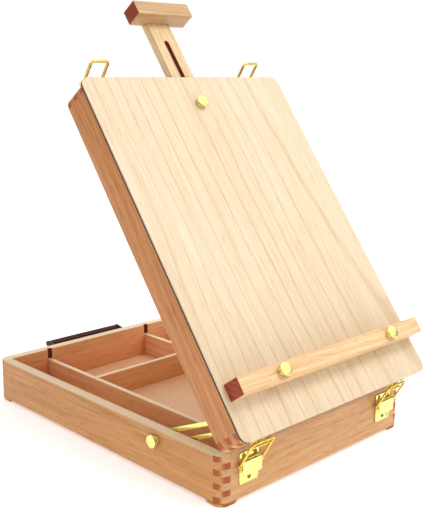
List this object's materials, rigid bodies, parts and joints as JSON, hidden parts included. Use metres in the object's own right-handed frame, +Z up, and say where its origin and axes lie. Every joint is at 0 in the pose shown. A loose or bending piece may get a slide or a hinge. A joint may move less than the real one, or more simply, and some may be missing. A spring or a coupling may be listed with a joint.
{
  "type": "tabletop easel",
  "caption": "Wooden sketch-box easel: a divided tray with a hinged lid that tilts up as a drawing board, with a ledge, a sliding canvas mast, slotted stays, latches and a handle.",
  "frame": {"origin": "centre of the tray's footprint, at the undersides of the feet", "axes": "+X along the front wall to the viewer's right, +Y from the front wall to the handle, +Z up"},
  "size_m": [0.3104, 0.4587, 0.4875],
  "materials": {
    "beech": "satin varnished beech",
    "beech_ply": "satin varnished beech plywood",
    "brass": "bright brass plate",
    "black_steel": "satin black",
    "leather": "dark brown leather"
  },
  "bodies": {
    "base": {"front_wall": "beech", "back_wall": "beech", "left_wall": "beech", "right_wall": "beech", "tray_floor": "beech_ply", "foot_front_left": "beech", "foot_front_right": "beech", "foot_back_left": "beech", "foot_back_right": "beech", "handle_bracket_left": "black_steel", "handle_bracket_right": "black_steel", "latch_plate_front_left": "brass", "latch_plate_front_right": "brass", "latch_keeper_back_left": "brass", "latch_keeper_back_right": "brass", "side_nut_left": "brass", "side_nut_right": "brass"},
    "lid": {"lid_front_rail": "beech", "lid_back_rail": "beech", "lid_left_rail": "beech", "lid_right_rail": "beech", "drawing_board": "beech_ply", "ledge": "beech", "mast_guide_left": "beech", "mast_guide_right": "beech", "mast_washer": "brass", "mast_nut": "brass", "ledge_nut_left": "brass", "ledge_nut_right": "brass", "stay_screw_left": "brass", "stay_screw_right": "brass", "latch_keeper_front_left": "brass", "latch_keeper_front_right": "brass", "latch_plate_back_left": "brass", "latch_plate_back_right": "brass"},
    "mast": {"mast": "beech", "canvas_holder": "beech"},
    "mast_knob": {"mast_knob": "brass"},
    "handle": {"handle_grip": "leather", "handle_arm_left": "black_steel", "handle_arm_right": "black_steel"},
    "divider_left": {"divider_left": "beech"},
    "divider_right": {"divider_right": "beech"},
    "divider_cross": {"divider_cross": "beech"},
    "stay_left": {"stay_left": "brass"},
    "side_knob_left": {"side_knob_left": "brass"},
    "ledge_knob_left": {"ledge_knob_left": "brass"},
    "front_lever_left": {"latch_lever_front_left": "brass"},
    "front_rod_left": {"latch_rod_front_left": "brass"},
    "front_loop_left": {"latch_loop_front_left": "brass"},
    "back_lever_left": {"latch_lever_back_left": "brass"},
    "back_loop_left": {"latch_loop_back_left": "brass"},
    "stay_right": {"stay_right": "brass"},
    "side_knob_right": {"side_knob_right": "brass"},
    "ledge_knob_right": {"ledge_knob_right": "brass"},
    "front_lever_right": {"latch_lever_front_right": "brass"},
    "front_rod_right": {"latch_rod_front_right": "brass"},
    "front_loop_right": {"latch_loop_front_right": "brass"},
    "back_lever_right": {"latch_lever_back_right": "brass"},
    "back_loop_right": {"latch_loop_back_right": "brass"}
  },
  "joints": [
    {"name": "lid_tilt", "type": "hinge", "parent": "base", "child": "lid", "pos_m": [0, -0.2025, 0.0555], "axis": [1, 0, 0], "range_deg": [-53.6, 0]},
    {"name": "mast_slide", "type": "slide", "parent": "lid", "child": "mast", "axis": [0, 0.5934, 0.8049], "range_m": [-0.078, 0.19]},
    {"name": "mast_knob_turn", "type": "hinge", "parent": "lid", "child": "mast_knob", "pos_m": [0, -0.01374, 0.37354], "axis": [0, -0.8049, 0.5934], "range_deg": [-360, 360]},
    {"name": "handle_swing", "type": "hinge", "parent": "base", "child": "handle", "pos_m": [0, 0.207, 0.045], "axis": [1, 0, 0], "range_deg": [-105, 60]},
    {"name": "divider_left_lift", "type": "slide", "parent": "base", "child": "divider_left", "axis": [0, 0, 1], "range_m": [0, 0.03]},
    {"name": "divider_right_lift", "type": "slide", "parent": "base", "child": "divider_right", "axis": [0, 0, 1], "range_m": [0, 0.03]},
    {"name": "divider_cross_lift", "type": "slide", "parent": "base", "child": "divider_cross", "axis": [0, 0, 1], "range_m": [0, 0.03]},
    {"name": "stay_left_swing", "type": "hinge", "parent": "lid", "child": "stay_left", "pos_m": [-0.1342, -0.2078, 0.08674], "axis": [1, 0, 0], "range_deg": [0, 51.2]},
    {"name": "side_knob_left_turn", "type": "hinge", "parent": "base", "child": "side_knob_left", "pos_m": [-0.1478, -0.1045, 0.041], "axis": [-1, 0, 0], "range_deg": [-360, 360]},
    {"name": "ledge_knob_left_turn", "type": "hinge", "parent": "lid", "child": "ledge_knob_left", "pos_m": [-0.086, -0.22013, 0.13], "axis": [0, -0.8049, 0.5934], "range_deg": [-360, 360]},
    {"name": "front_lever_left_swing", "type": "hinge", "parent": "base", "child": "front_lever_left", "pos_m": [-0.111, -0.2039, 0.044], "axis": [-1, 0, 0], "range_deg": [0, 120]},
    {"name": "front_rod_left_turn", "type": "hinge", "parent": "front_lever_left", "child": "front_rod_left", "pos_m": [-0.111, -0.2041, 0.039], "axis": [-1, 0, 0], "range_deg": [-144.1, 0]},
    {"name": "front_loop_left_swing", "type": "hinge", "parent": "front_rod_left", "child": "front_loop_left", "pos_m": [-0.111, -0.2041, 0.039], "axis": [1, 0, 0], "range_deg": [-31, 0]},
    {"name": "back_lever_left_swing", "type": "hinge", "parent": "lid", "child": "back_lever_left", "pos_m": [-0.1155, 0.03303, 0.38676], "axis": [-1, 0, 0], "range_deg": [-95, 0]},
    {"name": "back_loop_left_swing", "type": "hinge", "parent": "back_lever_left", "child": "back_loop_left", "pos_m": [-0.1155, 0.03649, 0.39038], "axis": [-1, 0, 0], "range_deg": [0, 255.1]},
    {"name": "stay_right_swing", "type": "hinge", "parent": "lid", "child": "stay_right", "pos_m": [0.1342, -0.2078, 0.08674], "axis": [1, 0, 0], "range_deg": [0, 51.2]},
    {"name": "side_knob_right_turn", "type": "hinge", "parent": "base", "child": "side_knob_right", "pos_m": [0.1478, -0.1045, 0.041], "axis": [1, 0, 0], "range_deg": [-360, 360]},
    {"name": "ledge_knob_right_turn", "type": "hinge", "parent": "lid", "child": "ledge_knob_right", "pos_m": [0.09, -0.22013, 0.13], "axis": [0, -0.8049, 0.5934], "range_deg": [-360, 360]},
    {"name": "front_lever_right_swing", "type": "hinge", "parent": "base", "child": "front_lever_right", "pos_m": [0.111, -0.2039, 0.044], "axis": [-1, 0, 0], "range_deg": [0, 120]},
    {"name": "front_rod_right_turn", "type": "hinge", "parent": "front_lever_right", "child": "front_rod_right", "pos_m": [0.111, -0.2041, 0.039], "axis": [-1, 0, 0], "range_deg": [-144.1, 0]},
    {"name": "front_loop_right_swing", "type": "hinge", "parent": "front_rod_right", "child": "front_loop_right", "pos_m": [0.111, -0.2041, 0.039], "axis": [1, 0, 0], "range_deg": [-31, 0]},
    {"name": "back_lever_right_swing", "type": "hinge", "parent": "lid", "child": "back_lever_right", "pos_m": [0.1155, 0.03303, 0.38676], "axis": [-1, 0, 0], "range_deg": [-95, 0]},
    {"name": "back_loop_right_swing", "type": "hinge", "parent": "back_lever_right", "child": "back_loop_right", "pos_m": [0.1155, 0.03649, 0.39038], "axis": [-1, 0, 0], "range_deg": [0, 255.1]}
  ],
  "couplings": [
    {"joint": "stay_left_swing", "follows": "lid_tilt", "ratio": -0.953},
    {"joint": "front_rod_left_turn", "follows": "front_lever_left_swing", "ratio": -1.2},
    {"joint": "front_loop_left_swing", "follows": "lid_tilt", "ratio": 0.5754},
    {"joint": "back_loop_left_swing", "follows": "back_lever_left_swing", "ratio": -2.685},
    {"joint": "stay_right_swing", "follows": "lid_tilt", "ratio": -0.953},
    {"joint": "front_rod_right_turn", "follows": "front_lever_right_swing", "ratio": -1.2},
    {"joint": "front_loop_right_swing", "follows": "lid_tilt", "ratio": 0.5754},
    {"joint": "back_loop_right_swing", "follows": "back_lever_right_swing", "ratio": -2.685}
  ]
}
